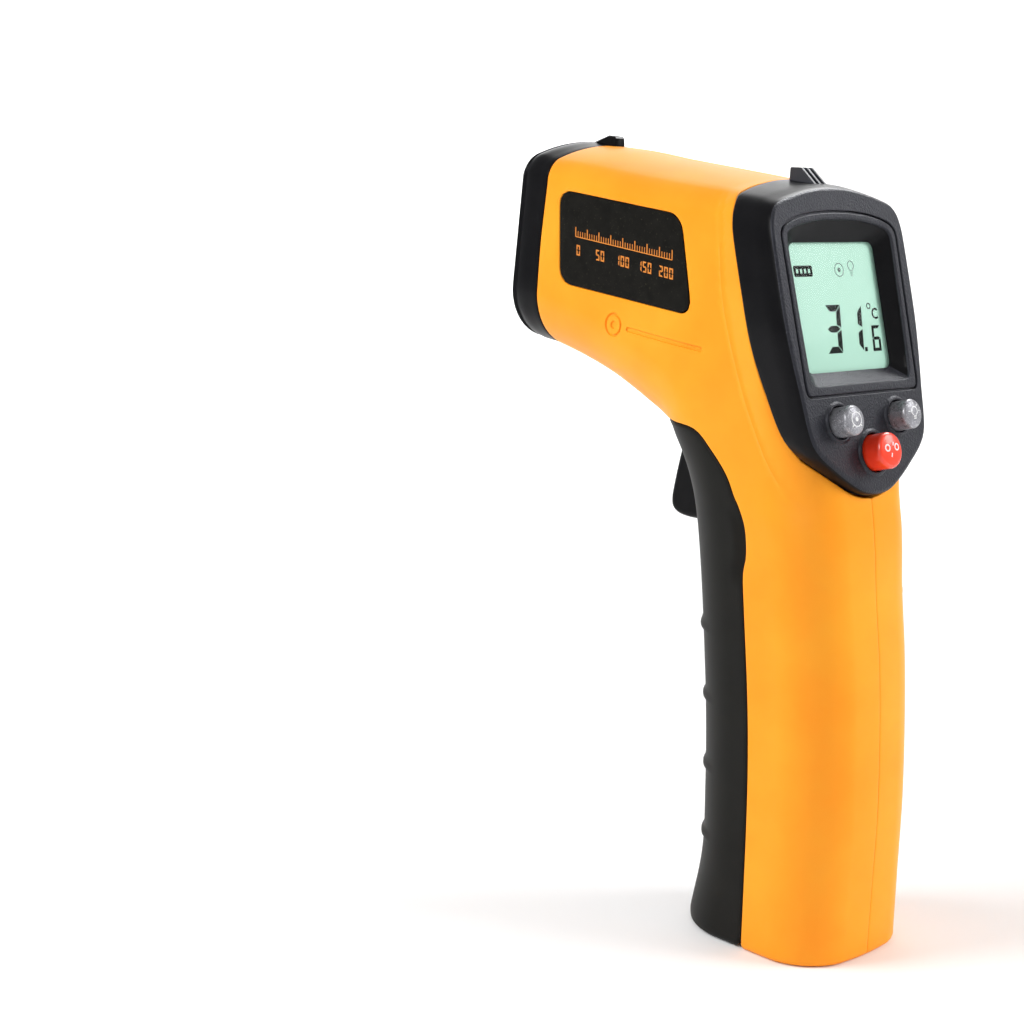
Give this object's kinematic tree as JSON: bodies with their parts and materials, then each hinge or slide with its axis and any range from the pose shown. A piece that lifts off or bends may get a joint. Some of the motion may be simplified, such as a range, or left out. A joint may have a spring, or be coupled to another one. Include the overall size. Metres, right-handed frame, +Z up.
{
  "type": "infrared thermometer",
  "caption": "Pistol-shaped non-contact infrared thermometer with a tilted display, push keys, a trigger and a hinged battery-door grip.",
  "frame": {"origin": "middle of the object's footprint box, at the foot of the handle", "axes": "+Z up the handle, +Y out of the nose towards the target, +X to the reader's right"},
  "size_m": [0.0408, 0.0882, 0.1601],
  "materials": {
    "orange_plastic": "satin moulded orange ABS",
    "black_plastic": "satin moulded black ABS with a fine grain",
    "grip_rubber": "soft-touch dark grey coating over plastic",
    "grey_button": "silver-grey key with a fine speckle",
    "red_button": "glossy red key",
    "clear_window": "clear polycarbonate",
    "lcd_glass": "pale green liquid crystal display",
    "white_diffuser": "milky light guide",
    "circuit_board": "green solder resist",
    "switch_body": "small switch housing",
    "steel": "plated steel",
    "brass": "turned brass",
    "infrared_lens": "dark infrared lens",
    "tray_plastic": "black ABS",
    "cell_sleeve": "printed foil sleeve of a dry cell",
    "label_film": "matt black polyester film",
    "red_insulation": "PVC insulation",
    "black_insulation": "PVC insulation",
    "grey_insulation": "PVC insulation"
  },
  "bodies": {
    "casing": {"shell_left": "orange_plastic", "shell_right": "orange_plastic", "nose_cap": "black_plastic", "display_bezel": "black_plastic", "trigger_pin": "steel", "trigger_spring": "steel", "trigger_switch": "switch_body", "lcd_window": "clear_window", "lcd_module": "lcd_glass", "backlight": "white_diffuser", "main_pcb": "circuit_board", "laser_switch": "switch_body", "backlight_switch": "switch_body", "unit_switch": "switch_body", "ir_lens": "infrared_lens", "lens_tube": "tray_plastic", "thermopile_sensor": "steel", "sensor_pcb": "circuit_board", "laser_module": "brass", "laser_window": "clear_window", "battery_tray": "tray_plastic", "cell_left": "cell_sleeve", "cell_right": "cell_sleeve", "contact_spring_lower": "steel", "contact_spring_upper": "steel", "contact_plate_upper": "steel", "contact_plate_lower": "steel", "door_hinge_pin": "steel", "label_left": "label_film", "label_right": "label_film", "battery_lead_red": "red_insulation", "battery_lead_black": "black_insulation", "sensor_lead": "grey_insulation", "casing_screw_1": "steel", "casing_screw_2": "steel", "casing_screw_3": "steel", "casing_screw_4": "steel", "casing_screw_5": "steel"},
    "trigger": {"trigger": "black_plastic"},
    "battery_door": {"battery_door": "grip_rubber"},
    "laser_button": {"laser_button": "grey_button"},
    "backlight_button": {"backlight_button": "grey_button"},
    "unit_button": {"unit_button": "red_button"}
  },
  "joints": [
    {"name": "trigger_pull", "type": "hinge", "parent": "casing", "child": "trigger", "pos_m": [0, -0.00244, 0.107], "axis": [-1, 0, 0], "range_deg": [0, 10], "stiffness_Nm_per_rad": 0.25, "springref_deg": -6.88, "deforming": ["trigger_spring"]},
    {"name": "battery_door_swing", "type": "hinge", "parent": "casing", "child": "battery_door", "pos_m": [0, -0.02149, 0.0021], "axis": [-1, 0, 0], "range_deg": [0, 75]},
    {"name": "laser_key_press", "type": "slide", "parent": "casing", "child": "laser_button", "axis": [0, 0.9745, -0.2243], "range_m": [0, 0.0006], "stiffness_N_per_m": 400, "springref_m": -0.0008},
    {"name": "backlight_key_press", "type": "slide", "parent": "casing", "child": "backlight_button", "axis": [0, 0.9745, -0.2243], "range_m": [0, 0.0006], "stiffness_N_per_m": 400, "springref_m": -0.0008},
    {"name": "unit_key_press", "type": "slide", "parent": "casing", "child": "unit_button", "axis": [0, 0.9745, -0.2243], "range_m": [0, 0.0006], "stiffness_N_per_m": 400, "springref_m": -0.0008}
  ]
}
